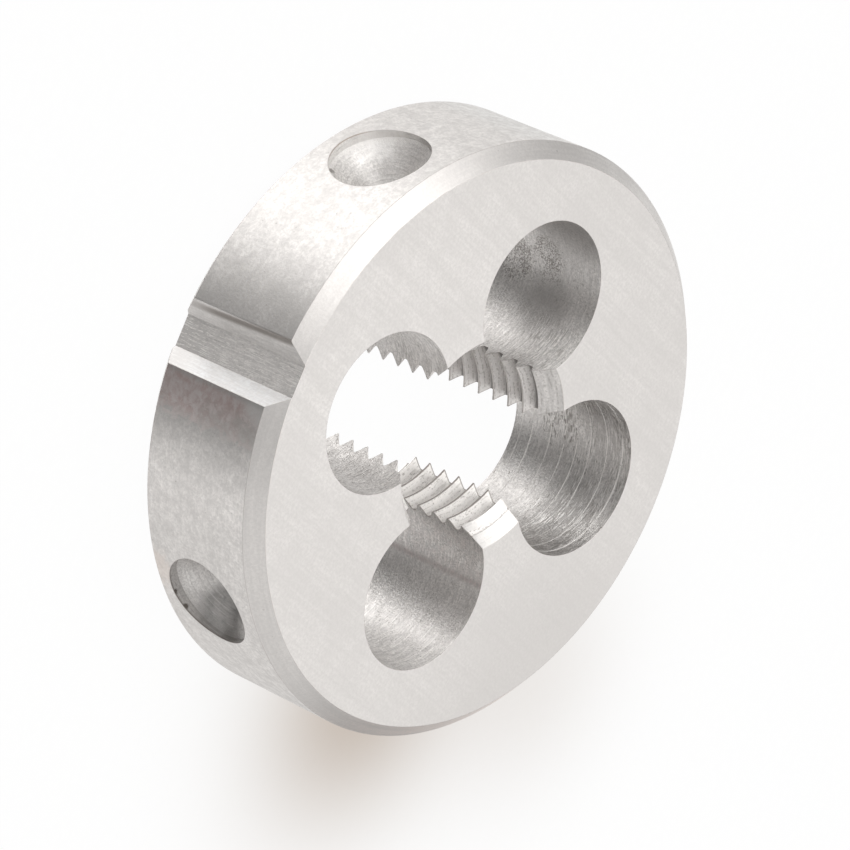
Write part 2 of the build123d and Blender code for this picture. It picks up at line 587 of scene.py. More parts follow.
def lay_of(place, face):
    """Where the point lies on its surface, in mm: the first two numbers along the tool's path, the
    third one across it."""
    finish = face.material_index
    plan = Vector((place.x, place.y, 0))
    if finish == FACE:
        along, across = heading(GRINDING_HEADING)
        side = FRONT_APART if place.z > THICKNESS / 2 else 0.0
        return Vector((plan.dot(along), side, plan.dot(across)))
    if finish == CHAMFER:
        return Vector((place.x, place.y, SLANT * place.z))
    if finish == GROOVE:
        return Vector((place.z, 0, FLANK_SLANT * place.x))
    if finish == SEAT:
        seat = SEAT_AXES.index(max(SEAT_AXES, key=plan.dot))
        out, side = heading(SEAT_HEADINGS[seat])
        across, rise = plan.dot(side), place.z - SEAT_HEIGHT
        on_lip = math.hypot(across, rise) > SEAT_RADIUS - SLACK
        ring = LIP_APART + plan.dot(out) if on_lip else SLANT * math.hypot(across, rise)
        return Vector((across + SEAT_APART * seat, rise, ring))
    if finish == LAND:
        turn = math.degrees(math.atan2(place.y, place.x))
        return Vector((place.x, place.y, TOOTH_SLANT * (place.z - PITCH * (turn + 90) / 360)))
    return place.copy()


def true_form(mesh, slope_layer):
    """For every corner: the surface's true direction, the tool's path and the place along it."""
    mesh.normal_update()
    known, shared, loose = {}, {}, {}
    for face in mesh.faces:
        for loop in face.loops:
            if face.material_index in (EDGE, ROLLED):
                loose.setdefault(loop.vert.index, Vector())
                loose[loop.vert.index] += face.normal * face.calc_area()
            else:
                known[loop.index] = finish_normal(loop.vert.co, face, face[slope_layer])
                shared.setdefault(loop.vert.index, Vector())
                shared[loop.vert.index] += known[loop.index]
    normals, paths, lays = [], [], []
    for face in mesh.faces:
        for loop in face.loops:
            normal = known.get(loop.index) or shared.get(loop.vert.index) or loose[loop.vert.index]
            normals.append(normal.normalized())
            paths.append(tool_path(loop.vert.co, face, normals[-1]))
            lays.append(lay_of(loop.vert.co, face))
    return normals, paths, lays


def store(data, name, vectors):
    """Keeps a vector for each of the mesh's corners."""
    attribute = data.attributes.new(name, "FLOAT_VECTOR", "CORNER")
    attribute.data.foreach_set("vector", [number for vector in vectors for number in vector])


def threading_die():
    """The whole die as one closed mesh."""
    shell = Shell()
    lands = toothed_lands(shell)
    walls = swarf_holes(shell, lands)
    groove = setting_groove(shell)
    chamfers(shell)
    rim(shell)
    screw_seats(shell)
    flat_faces(shell, lands, walls, groove)
    mesh = shell.mesh
    bmesh.ops.remove_doubles(mesh, verts=mesh.verts, dist=WELD)
    bmesh.ops.dissolve_degenerate(mesh, dist=MARGIN, edges=mesh.edges)
    bmesh.ops.recalc_face_normals(mesh, faces=mesh.faces)
    break_edges(shell)
    mesh.verts.index_update()
    count = 0
    for face in mesh.faces:
        face.smooth = True
        for loop in face.loops:
            loop.index = count
            count += 1
    normals, paths, lays = true_form(mesh, shell.slope)
    bmesh.ops.scale(mesh, vec=(MM, MM, MM), verts=mesh.verts)
    data = bpy.data.meshes.new("threading_die")
    mesh.to_mesh(data)
    store(data, "tool_path", paths)
    store(data, "lay", lays)
    data.normals_split_custom_set(normals)
    die = bpy.data.objects.new("threading_die", data)
    bpy.context.scene.collection.objects.link(die)
    return die


# Nodes


class Value:
    """What a node puts out, so that sums can be written with their usual signs."""

    def __init__(self, net, socket):
        self.net, self.socket = net, socket

    def __add__(self, other):
        return self.net.maths("ADD", self, other)

    def __sub__(self, other):
        return self.net.maths("SUBTRACT", self, other)

    def __rsub__(self, other):
        return self.net.maths("SUBTRACT", other, self)

    def __mul__(self, other):
        return self.net.maths("MULTIPLY", self, other)

    def __truediv__(self, other):
        return self.net.maths("DIVIDE", self, other)

    def __rtruediv__(self, other):
        return self.net.maths("DIVIDE", other, self)


class Nodes:
    """A node tree, with short calls for what its nodes work out."""

    def __init__(self, tree):
        self.tree = tree

    def give(self, socket, value):
        """Joins a node's output to a socket, or sets the socket's own value."""
        if isinstance(value, Value):
            self.tree.links.new(value.socket, socket)
        else:
            socket.default_value = value

    def add(self, kind, inputs, **options):
        made = self.tree.nodes.new("ShaderNode" + kind)
        for name, value in options.items():
            setattr(made, name, value)
        for name, value in inputs.items():
            self.give(made.inputs[name], value)
        return made

    def value(self, kind, inputs, result=0, **options):
        """What a new node puts out."""
        return Value(self, self.add(kind, inputs, **options).outputs[result])

    def maths(self, operation, first, second=0.0):
        return self.value("Math", {0: first, 1: second}, operation=operation)

    def larger(self, first, second):
        return self.maths("MAXIMUM", first, second)

    def absolute(self, value):
        return self.maths("ABSOLUTE", value)

    def eased(self, value, low, high, to_low=0.0, to_high=1.0):
        """A smooth step from to_low to to_high while the value goes from low to high."""
        inputs = {"Value": value, "From Min": low, "From Max": high, "To Min": to_low, "To Max": to_high}
        return self.value("MapRange", inputs, "Result", interpolation_type="SMOOTHSTEP")

    def fading(self, value, low, high):
        """1 up to the low value, 0 from the high one on."""
        return 1 - self.eased(value, low, high)

    def within(self, value, low, high, soft):
        """1 while the value lies between low and high."""
        return self.eased(value, low - soft, low + soft) * self.fading(value, high - soft, high + soft)

    def vector(self, operation, first, second, result="Vector"):
        return self.value("VectorMath", {0: first, 1: second}, result, operation=operation)

    def distance(self, place, middle=(0, 0, 0)):
        return self.vector("DISTANCE", place, middle, "Value")

    def joined(self, x, y, z=0.0):
        return self.value("CombineXYZ", {"X": x, "Y": y, "Z": z})

    def parts(self, place):
        return [Value(self, socket) for socket in self.add("SeparateXYZ", {0: place}).outputs]

    def in_mm(self):
        """The place on the object, in millimetres."""
        return self.vector("MULTIPLY", self.value("TexCoord", {}, "Object"), (1 / MM, 1 / MM, 1 / MM))

    def noise(self, place, scale=1.0, detail=2.0, roughness=0.5, distortion=0.0):
        inputs = {"Vector": place, "Scale": scale, "Detail": detail, "Roughness": roughness}
        return self.value("TexNoise", {**inputs, "Distortion": distortion}, "Fac")

    def moved(self, place, seed):
        """The same place shifted by the seed in every direction, so that a pattern comes out elsewhere."""
        return self.vector("ADD", place, self.joined(seed, seed, seed))

    def stretched(self, lay, length, spacing, seed=0.0):
        """The lay squeezed so that a pattern is this long along the tool's path and this wide across it."""
        slow, quick = self.maths("DIVIDE", 1, length), self.maths("DIVIDE", 1, spacing)
        return self.moved(self.vector("MULTIPLY", lay, self.joined(slow, slow, quick)), seed)


def effect(name, inputs, outputs):
    """An empty node group with these named sockets: its nodes, what it is given and what it puts out."""
    tree = bpy.data.node_groups.new(name, "ShaderNodeTree")
    for label, value in inputs.items():
        kind = "NodeSocketVector" if value is None else "NodeSocketFloat"
        socket = tree.interface.new_socket(name=label, in_out="INPUT", socket_type=kind)
        if value is not None:
            socket.default_value = value
    for label in outputs:
        tree.interface.new_socket(name=label, in_out="OUTPUT", socket_type="NodeSocketFloat")
    net = Nodes(tree)
    source, target = tree.nodes.new("NodeGroupInput"), tree.nodes.new("NodeGroupOutput")
    return net, [Value(net, source.outputs[label]) for label in inputs], target.inputs


def tool_marks_effect():
    """Fine lines that follow the tool's path, as a height and as a light and dark streak."""
    sockets = {"Lay": None, "Length": 6.0, "Spacing": 0.2, "Bands": 0.35, "Seed": 0.0}
    net, given, result = effect("tool_marks", sockets, ("Height", "Streak"))
    lay, length, spacing, bands, seed = given
    lines = net.noise(net.stretched(lay, length, spacing, seed), detail=3.0, roughness=0.65)
    broad = net.noise(net.stretched(lay, length * 1.5, spacing * 4, seed))
    both = lines * (1 - bands) + broad * bands
    net.give(result["Height"], both)
    net.give(result["Streak"], net.eased(both, 0.36, 0.64))
    return net.tree


def scratches_effect():
    """Long thin lines near the tool's path, a spacing apart on average and broken into stretches."""
    sockets = {"Lay": None, "Length": 14.0, "Spacing": 1.2, "Width": 0.06, "Amount": 0.5, "Seed": 0.0}
    net, given, result = effect("scratches", sockets, ("Scratch",))
    lay, length, spacing, width, amount, seed = given
    wander = net.noise(net.stretched(lay, length, spacing * 1.5, seed), detail=1.0, roughness=0.4)
    steps = net.parts(lay)[2] / spacing + wander * 1.1
    away = net.maths("PINGPONG", steps, 0.5) * spacing
    line = net.fading(away, width * 0.25, width * 0.5)
    breaks = net.noise(net.stretched(lay, length * 0.2, spacing, seed + 7.3), detail=1.0)
    level = 0.58 - amount * 0.25
    net.give(result["Scratch"], line * net.eased(breaks, level, level + 0.1))
    return net.tree


def specks_effect():
    """Small ragged spots in loose clusters: pits when they are dark, burrs and grit when light."""
    sockets = {"Place": None, "Size": 0.2, "Amount": 0.3, "Seed": 0.0}
    net, (place, size, amount, seed), result = effect("specks", sockets, ("Speck",))
    spot = net.moved(place, seed)
    grains = net.noise(spot, 1 / size, roughness=0.6)
    clusters = net.noise(spot, 0.09 / size)
    level = 0.9 - amount * 0.3 - clusters * 0.3
    net.give(result["Speck"], net.eased(grains, level, level + 0.07))
    return net.tree


def clouds_effect():
    """Soft uneven patches, from 0 to 1."""
    sockets = {"Place": None, "Size": 3.0, "Softness": 0.2, "Seed": 0.0}
    net, (place, size, softness, seed), result = effect("clouds", sockets, ("Cloud",))
    noise = net.noise(net.moved(place, seed), 1 / size, 4.0, 0.6, distortion=0.4)
    net.give(result["Cloud"], net.eased(noise, 0.5 - softness, softness + 0.5))
    return net.tree


TOOL_MARKS = tool_marks_effect()
SCRATCHES = scratches_effect()
SPECKS = specks_effect()
CLOUDS = clouds_effect()

# Plain steel, then steel that is polished, tarnished, stained or oiled. Several of these colours also serve
# as painted highlights, painted reflections and painted shade
STEEL = (0.72, 0.70, 0.687)
BRIGHT = (0.97, 0.955, 0.94)
WHITE = (0.99, 0.995, 0.99)
COOL = (0.84, 0.85, 0.865)
ROSY = (0.9, 0.82, 0.81)
BLUSH = (0.84, 0.72, 0.70)
TAN = (0.8, 0.7, 0.64)
WARM = (0.76, 0.67, 0.63)
BROWNED = (0.68, 0.55, 0.53)
GREENISH = (0.64, 0.66, 0.64)
GREYED = (0.60, 0.61, 0.59)
WORN = (0.6, 0.55, 0.52)
OILED = (0.44, 0.35, 0.29)
BROWN = (0.42, 0.31, 0.31)
OLD_OIL = (0.25, 0.22, 0.2)
DARK = (0.2, 0.18, 0.165)


def colour_of(colour):
    """A colour with its alpha. A single number is a share of plain steel."""
    channels = colour if isinstance(colour, tuple) else [channel * colour for channel in STEEL]
    return (*channels, 1.0)


class Steel(Nodes):
    """One finish of the die's steel, while its nodes are put together. It has the tool's marks, from
    their length, spacing, seed and bands, and a grain, from its size, softness and seed."""

    def __init__(self, name, roughness, anisotropy, colour, marks, grain=None):
        self.material = bpy.data.materials.new(name)
        self.material.use_nodes = True
        super().__init__(self.material.node_tree)
        self.shader = self.tree.nodes["Principled BSDF"]
        self.shader.inputs["Metallic"].default_value = 1.0
        self.shader.inputs["Anisotropic"].default_value = anisotropy
        self.shader.inputs["Anisotropic Rotation"].default_value = 0.25
        path = self.value("Attribute", {}, "Vector", attribute_name="tool_path")
        self.give(self.shader.inputs["Tangent"], path)
        self.lay = self.value("Attribute", {}, "Vector", attribute_name="lay")
        self.place = self.in_mm()
        self.x, self.y, self.z = self.parts(self.place)
        self.colour = colour_of(colour)
        self.roughness = roughness
        sizes = dict(zip(("Length", "Spacing", "Seed", "Bands"), marks))
        made = self.add("Group", {"Lay": self.lay, **sizes}, node_tree=TOOL_MARKS).outputs
        self.height, self.streak = Value(self, made["Height"]), Value(self, made["Streak"])
        if grain:
            self.grain = self.clouds(*grain)

    def use(self, group, **inputs):
        return self.value("Group", inputs, node_tree=group)

    def scratches(self, length, spacing, width, seed=0.0, amount=0.5):
        sizes = {"Length": length, "Spacing": spacing, "Width": width, "Amount": amount}
        return self.use(SCRATCHES, Lay=self.lay, Seed=seed, **sizes)

    def specks(self, size, amount, seed=0.0):
        return self.use(SPECKS, Place=self.place, Size=size, Amount=amount, Seed=seed)

    def dashes(self, length, width, amount, seed=0.0):
        """Short marks along the tool's path."""
        place = self.stretched(self.lay, length, width)
        return self.use(SPECKS, Place=place, Size=1.0, Amount=amount, Seed=seed)

    def clouds(self, size, softness=0.2, seed=0.0):
        return self.use(CLOUDS, Place=self.place, Size=size, Softness=softness, Seed=seed)

    def heading(self):
        """The heading round the die's axis, in degrees from -180 to 180."""
        return self.maths("ARCTAN2", self.y, self.x) * math.degrees(1)

    def near(self, x, y, z, reach, ragged=0.0):
        """1 at this place on the die, falling to 0 this far from it, with an uneven edge if it is ragged."""
        away = self.distance(self.place, (x, y, z))
        if ragged:
            away += (self.clouds(reach * 0.6, 0.35, x) - 0.5) * (2 * ragged * reach)
        return self.fading(away, reach * 0.4, reach)

    def rolled_line(self):
        """The painted shade line beside the groove's rear side, where the rim rolls over into the flank. It
        runs a little lower towards the die's rear."""
        middle = self.z * -0.032 + (0.36 - GROOVE_HALF_MOUTH)
        return self.fading(self.absolute(self.x - middle), 0.04, 0.28) * self.eased(self.z, -1.0, 3.0)

    def beside_hole(self, width):
        """1 along the edge of the nearest swarf hole, in a line that is this many mm wide."""
        x, y = self.absolute(self.x), self.absolute(self.y)
        plans = (self.joined(x, y), self.joined(y, x))
        gaps = [self.distance(plan, (HOLE_CIRCLE, 0, 0)) - HOLE_RADIUS for plan in plans]
        return self.fading(self.maths("MINIMUM", *gaps), 0.02, width)

    def tint(self, share, colour, strength=1.0):
        """Lays a colour over the steel where share is 1."""
        inputs = {0: share * strength, 6: self.colour, 7: colour_of(colour)}
        self.colour = self.value("Mix", inputs, 2, data_type="RGBA")

    def patches(self, **places):
        """Lays a colour over each named place, given as its middle, how far it reaches, how ragged
        its edge is, its colour and its strength."""
        for x, y, z, reach, ragged, colour, strength in places.values():
            self.tint(self.near(x, y, z, reach, ragged), colour, strength)

    def wear(self, dull, dull_strength, dark, dark_strength):
        """Dulls the hollows of the tool's marks and darkens the grain."""
        self.tint(1 - self.streak, dull, dull_strength)
        self.tint(self.grain, dark, dark_strength)

    def roughen(self, *pairs):
        """Adds an amount to the roughness where each share is 1."""
        for share, amount in pairs:
            self.roughness = share * amount + self.roughness

    def finished(self, *relief):
        """The material, with its relief as pairs of a share and its height in micrometres."""
        steps = [share * rise for share, rise in relief]
        height = steps[0]
        for step in steps[1:]:
            height += step
        bump = self.value("Bump", {"Height": height, "Distance": 1e-6, "Strength": 1.0})
        self.give(self.shader.inputs["Base Color"], self.colour)
        self.give(self.shader.inputs["Roughness"], self.roughness)
        self.give(self.shader.inputs["Normal"], bump)
        return self.material


def ground_face():
    steel = Steel("ground_face", 0.38, 0, 0.92, (9, 0.2), (0.2, 0.12, 4))
    mottle = steel.clouds(0.8, 0.25, 8)
    smudge = steel.clouds(3, 0.12, 11)
    rear_face = steel.fading(steel.z, 1, 9)
    steel.tint(rear_face, 0.76)
    # Painted highlight round the middle of the front face, and painted shade towards its side at positive x
    # and y
    steel.patches(
        bright_middle=(-3, -8, THICKNESS, 14, 0.1, 0.99, 0.8),
        dull_side=(16, 15, THICKNESS, 15, 0.15, 0.79, 0.85),
    )
    steel.wear(0.75, 0.4, 0.69, 0.4)
    steel.tint(mottle, 0.79, 0.25)
    steel.tint(smudge, 0.79, 0.4)
    steel.roughen((mottle, 0.03))
    return steel.finished((steel.height, 0.6), (steel.grain, 0.3))


def turned_rim():
    steel = Steel("turned_rim", 0.42, 0.8, 1.3, (4, 0.18, 3), (0.18, 0.15, 6))
    mottle = steel.clouds(0.55, 0.18, 5)
    cloud = steel.clouds(2.6, 0.2, 2)
    burrs = steel.specks(0.22, 0.45, 9)
    pits = steel.specks(0.25, 0.1, 4)
    turn = steel.heading() + mottle * 2.5
    # Painted reflections beside the groove: a darker band above it, a rosy brown patch below it and a
    # greenish shaded edge to that patch
    above_groove = steel.within(turn, -105, -90, 1.5)
    below_groove = steel.within(turn, -88, -75, 1.2)
    tarnished_edge = steel.within(turn, -78.5, -75, 1.2)
    # Painted highlight along the side of the rim at negative x
    clean_side = steel.eased(steel.x * -1, 17.6, 18.8)
    beside_groove = steel.within(steel.x, 1.9, 2.3, 0.15)
    steel.tint(clean_side, WHITE, 0.9)
    steel.wear(0.9, 0.3, 0.8, 0.45)
    steel.tint(mottle, 0.8, 0.45)
    steel.tint(cloud, 0.9, 0.35)
    # Painted dark reflection above the groove, painted warm reflection below it, and the painted edge of
    # that reflection
    steel.tint(above_groove * cloud, 0.95, 0.6)
    steel.tint(below_groove, ROSY, 0.9)
    steel.tint(below_groove * mottle, BROWNED, 0.9)
    steel.tint(tarnished_edge * cloud, GREENISH, 0.6)
    # Painted highlight at the groove's front corner
    steel.patches(groove_corner=(1.9, -18.9, 9.6, 2.6, 0.2, BRIGHT, 0.8))
    steel.tint(burrs, BRIGHT, 0.3)
    steel.tint(pits, DARK, 0.3)
    steel.patches(stain_behind_seat=(13.7, -13.1, 1.2, 1.6, 0.4, TAN, 0.4))
    steel.tint(beside_groove, GREYED, 0.45)
    steel.roughen((mottle, 0.06))
    return steel.finished((steel.height, 3), (steel.grain, 2), (mottle, 2), (pits, -2))


def turned_chamfer():
    steel = Steel("turned_chamfer", 0.42, 0.75, 1.15, (6, 0.18, 6), (0.17, 0.15, 1))
    cloud = steel.clouds(2.5, 0.25, 3)
    pits = steel.specks(0.25, 0.1, 14)
    warm_from = steel.eased(steel.heading(), -25, 20)
    warm_until = steel.fading(steel.heading(), 80, 140)
    steel.tint(warm_from, WARM, warm_until)
    # Painted highlight on the chamfer's side at negative x
    steel.patches(bright_side=(-17.3, 6, 9.5, 9, 0, BRIGHT, 0.6))
    steel.wear(0.85, 0.4, 0.85, 0.4)
    steel.tint(cloud, 0.95, 0.4)
    steel.tint(pits, DARK, 0.25)
    steel.roughen((steel.streak, 0.05))
    return steel.finished((steel.height, 3), (steel.grain, 1.5), (pits, -2))


def milled_groove():
    steel = Steel("milled_groove", 0.42, 0.75, 1.37, (1.5, 0.18, 8, 0.2), (0.17, 0.15, 2))
    on_floor = steel.fading(steel.absolute(steel.x), GROOVE_HALF_FLOOR - 0.03, GROOVE_HALF_FLOOR + 0.03)
    on_far_flank = steel.eased(steel.x, 0.9, 1.1)
    dull_rear = steel.fading(steel.z, 0.5, 4)
    dashes = steel.larger(steel.dashes(0.9, 0.08, 0.6, 2), steel.scratches(1, 0.3, 0.08, 12, 0.6))
    floor_dashes = dashes * on_floor
    gouges = steel.dashes(0.8, 0.09, 0.5, 6) * on_floor
    cloud = steel.clouds(1.5, 0.2, 8)
    steel.tint(on_far_flank, COOL)
    steel.tint(on_floor, 1.37)
    # Darker towards the rear face
    steel.tint(dull_rear, 1, 0.6)
    steel.wear(0.8, 0.45, 0.85, 0.4)
    steel.tint(cloud, 1, 0.4)
    steel.tint(gouges, 0.6, 0.6)
    steel.tint(dashes, BRIGHT, on_floor * 0.8 + 0.2)
    # Painted shade line where the rim rolls over into the groove's flank
    steel.tint(steel.rolled_line(), OLD_OIL, 0.8)
    steel.roughen((on_floor, 0.15), (floor_dashes, 0.3))
    return steel.finished((steel.height, 5), (floor_dashes, 4), (gouges, -3))


def drilled_seat():
    steel = Steel("drilled_seat", 0.46, 0.45, 1.12, (1.6, 0.16, 13, 0.15), (0.15, 0.13, 7))
    rings = steel.scratches(4, 0.4, 0.1, 4)
    dark_rings = steel.scratches(3, 0.33, 0.09, 14)
    cloud = steel.clouds(1.2, 0.2, 6)
    from_axis = steel.distance(steel.joined(steel.x, steel.y))
    outer_line = steel.eased(from_axis, BODY_RADIUS - 0.14, BODY_RADIUS - 0.04)
    on_lip = steel.eased(steel.parts(steel.lay)[2], 10, 20)
    # Painted highlight on the lower rear part of the seat's lip
    rear_lip = on_lip * steel.fading(steel.z, 4.6, 5.8) * steel.fading(steel.x, -5, 5)
    # Painted highlight in the middle of the seat at heading -40
    middle = steel.near(12.6, -10.5, 4.8, 1.9, 0.2)
    # Painted shade on one side of the seat at heading -40, and a painted highlight at its front
    steel.patches(
        dark_side=(14.8, -9.6, 4, 2.3, 0.25, 0.34, 0.9),
        bright_front=(15, -10.1, 7, 2, 0.2, BRIGHT, 1),
    )
    # Painted highlight in the seat's middle
    steel.tint(middle, BRIGHT)
    # Painted highlights at the rear of both seats
    steel.patches(
        bright_rear=(14.2, -12, 1.9, 1.8, 0.2, BRIGHT, 0.6),
        other_bright_rear=(-12.6, -13.2, 2.4, 3, 0.2, BRIGHT, 1),
    )
    steel.wear(0.85, 0.5, 0.65, 0.55)
    steel.tint(cloud, 1, 0.4)
    steel.tint(rear_lip, BRIGHT, 0.5)
    steel.tint(rings, BRIGHT, 0.22)
    steel.tint(dark_rings, DARK, 0.2)
    # A painted highlight in the seat at heading -137 and a painted shade along a lip's edge, then the real
    # nicks
    steel.patches(
        polished_spot=(-14.9, -11.2, 2.5, 1.9, 0.4, BRIGHT, 0.9),
        shaded_edge=(16.2, -9.7, 5.2, 1.2, 0.2, DARK, 0.3),
        first_nick=(14.83, -11.75, 1.75, 0.25, 0.3, DARK, 1),
        second_nick=(15.46, -10.85, 2.16, 0.28, 0.3, DARK, 1),
        other_seats_nick=(-12, -13.9, 2.6, 0.3, 0.3, DARK, 0.7),
    )
    steel.tint(outer_line, OILED, steel.near(-13.6, -13, 1.8, 2.6) * 0.8)
    steel.tint(outer_line, OLD_OIL, steel.near(15.4, -11, 2.5, 4) * 0.8)
    steel.roughen((cloud, 0.1), (middle, 0.25), (rear_lip, 0.1))
    return steel.finished((steel.height, 12), (steel.grain, 6), (rings, 2))


def drilled_hole():
    steel = Steel("drilled_hole", 0.37, 0.75, 1.2, (0.7, 0.14, 17, 0.1), (0.14, 0.12, 7))
    mottle = steel.clouds(0.45, 0.2, 12)
    near_hole = steel.eased(steel.x, 5.3, 6)
    groove_hole = steel.eased(steel.y * -1, 5.3, 6)
    far_hole = steel.eased(steel.y, 5.3, 6.5)
    pitted = steel.larger(steel.near(-11.1, 4.8, 2.8, 2.2, 0.3), steel.near(-12.1, 4.3, 5.7, 1.8, 0.3))
    pits = steel.specks(0.1, pitted * 0.45 + 0.45, 6)
    torn = steel.near(-2.6, 13.8, 3.8, 2.4)
    nicks = steel.dashes(0.5, 0.14, torn * 0.5 + 0.35, 11) * far_hole
    arcs = steel.scratches(25, 1.25, 0.11, 5, 1) * far_hole
    front_edge = steel.near(-6.9, 4.4, 10.2, 3.8, 0.2)
    floor_of_near_hole = steel.eased(steel.x, 12.4, 13.8)
    stroked = steel.eased(steel.x, -9.2, -8) * (1 - near_hole * 0.8) * steel.eased(steel.z, 1, 7)
    strokes = steel.dashes(0.8, 0.1, 0.7, 9) * stroked
    dark_strokes = steel.dashes(0.8, 0.1, 0.6, 19) * stroked
    scored = far_hole * steel.eased(steel.x, 1, 3)
    scratched = near_hole * steel.eased(steel.x, 10.5, 12)
    long_scratches = steel.scratches(8, 0.7, 0.09, 33, 0.3) * scratched
    warm_band = steel.within(steel.x, 5.8, 7.9, 0.3)
    bright_band = steel.within(steel.x, 6.2, 7.6, 0.4)
    brown_line = steel.within(steel.x, 7.98, 8.3, 0.2)
    # Painted light: the holes at headings 0 and -90 are painted lighter than the other two
    steel.tint(steel.larger(near_hole, groove_hole), 1.28, 0.85)
    # Painted highlights at the outer end of the hole at heading 0 and in a band across its wall
    steel.tint(floor_of_near_hole, BRIGHT, 0.8)
    steel.tint(bright_band, BRIGHT, 0.7)
    # Painted shade and a painted highlight on the walls of the holes at headings 90 and 180
    steel.patches(
        dark_far_side=(2.2, 14, 6.6, 2.8, 0.25, 0.62, 0.85),
        dull_far_front=(-3.5, 13.2, 8.5, 3.6, 0.2, 0.85, 0.7),
        bright_far_rear=(0.4, 14.5, 0.8, 2.6, 0.2, BRIGHT, 0.4),
        dark_top_corner=(-9, 5.1, 6.2, 2.6, 0.2, 0.65, 0.8),
        dull_top_front=(-13.6, 2.8, 7.5, 4.2, 0.2, 0.9, 0.8),
    )
    # Painted highlights near the front of the holes at headings 180 and 90
    steel.tint(front_edge, BRIGHT, 0.9)
    steel.patches(bright_far_front=(4.6, 11.5, 9.3, 3.6, 0.2, BRIGHT, 0.7))
    steel.tint(warm_band * mottle, BLUSH, 0.4)
    steel.tint(brown_line, BROWN, 0.7)
    steel.wear(0.65, 0.5, 0.55, 0.5 - scratched * 0.2)
    steel.tint(mottle, 0.95, 0.35)
    steel.tint(strokes, BRIGHT, scored * 0.45 + 0.55)
    steel.tint(dark_strokes, DARK, 0.4)
    steel.tint(long_scratches, BRIGHT, 0.8)
    steel.tint(arcs, BRIGHT)
    steel.tint(nicks, DARK, 0.7)
    steel.tint(pits, DARK, pitted * 0.3 + 0.4)
    steel.roughen((mottle, 0.06), (arcs, 0.4), (front_edge, 0.3), (floor_of_near_hole, 0.25))
    relief = [(arcs, 4), (strokes, 4), (dark_strokes, -4), (pits, -4)]
    return steel.finished((steel.height, 20), (steel.grain, 6), *relief)


def cut_thread():
    steel = Steel("cut_thread", 0.45, 0.6, 1.3, (2.5, 0.15, 21, 0.15), (0.14, 0.13, 3))
    dotted = steel.scratches(0.9, 0.23, 0.09, 23, 0.5)
    dots = steel.dashes(0.22, 0.1, 0.45, 3)
    cloud = steel.clouds(0.9, 0.2, 16)
    # How far the point lies from a tooth's tip, counted in pitches: 0 at the tip, 0.5 in the root
    turns = (steel.heading() + 90) / 360
    from_tip = steel.maths("PINGPONG", (steel.z - FIRST_TIP) / PITCH - turns, 0.5)
    tip = steel.fading(from_tip, 0.03, 0.07)
    root = steel.eased(from_tip, 0.3, 0.4)
    root_line = steel.eased(from_tip, 0.42, 0.46)
    edges = steel.larger(tip, steel.beside_hole(0.09))
    # The lands at positive x are painted lighter and those at negative x darker, as lit and shaded copies;
    # the darker ones also carry more real stain marks
    clean_land = steel.eased(steel.x, -1, 1)
    stained_land = 1 - clean_land
    worn = 0.45 - clean_land * 0.3
    steel.tint(clean_land, BRIGHT)
    steel.tint(stained_land, 1.18)
    steel.wear(0.85, worn, 0.85, worn)
    steel.tint(cloud, 1.2, 0.2)
    steel.tint(dotted, OLD_OIL, stained_land * 0.15 + 0.2)
    steel.tint(dots, OLD_OIL, 0.4)
    # Painted shade in the thread's roots on the lands at negative x, and a painted shade line in the roots
    # on the other lands
    steel.tint(root, 0.45, stained_land)
    steel.tint(root_line, OLD_OIL, clean_land * 0.5)
    steel.tint(edges, OLD_OIL, clean_land * 0.4 + 0.4)
    steel.roughen((clean_land, 0.2), (steel.streak, 0.06))
    return steel.finished((steel.height, 6), (steel.grain, 2), (dots, -1.5))


def turned_lead():
    steel = Steel("turned_lead", 0.42, 0.7, 1.2, (2.5, 0.15, 27, 0.2), (0.15, 0.13, 5))
    dotted = steel.scratches(1.2, 0.26, 0.09, 7, 0.5)
    # The lands at positive x are painted lighter
    clean_land = steel.eased(steel.x, -1, 1)
    worn = 0.6 - clean_land * 0.4
    steel.tint(clean_land, BRIGHT, 0.9)
    steel.wear(0.75, worn, 0.8, worn)
    steel.tint(dotted, OLD_OIL, 1 - steel.eased(steel.x, -2, 1, 0.72, 0.9))
    steel.tint(steel.beside_hole(0.08), OLD_OIL, 0.3)
    return steel.finished((steel.height, 6), (steel.grain, 2))


def broken_edge():
    steel = Steel("broken_edge", 0.5, 0, 0.88, (2, 0.2, 25))
    cloud = steel.clouds(0.9, 0.2, 21)
    steel.tint(cloud, WORN, 0.5)
    steel.tint(steel.streak, 1.05, 0.3)
    steel.roughen((cloud, 0.1))
    return steel.finished((cloud, 1.5))


def rolled_edge():
    """The wider round along the groove's one side."""
    steel = Steel("rolled_edge", 0.5, 0.3, 1, (2, 0.15, 31), (0.2, 0.2, 18))
    steel.tint(steel.streak, 1, 0.4)
    steel.tint(steel.grain, 0.95, 0.4)
    # Painted shade line where the rim rolls over into the groove's flank
    steel.tint(steel.rolled_line(), OLD_OIL, 0.8)
    return steel.finished((steel.height, 4), (steel.grain, 2))


die = threading_die()
for finish in (
    ground_face,
    turned_rim,
    turned_chamfer,
    milled_groove,
    drilled_seat,
    drilled_hole,
    cut_thread,
    turned_lead,
    broken_edge,
    rolled_edge,
):
    die.data.materials.append(finish())
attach(die, "root")
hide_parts("die_body")

# Studio


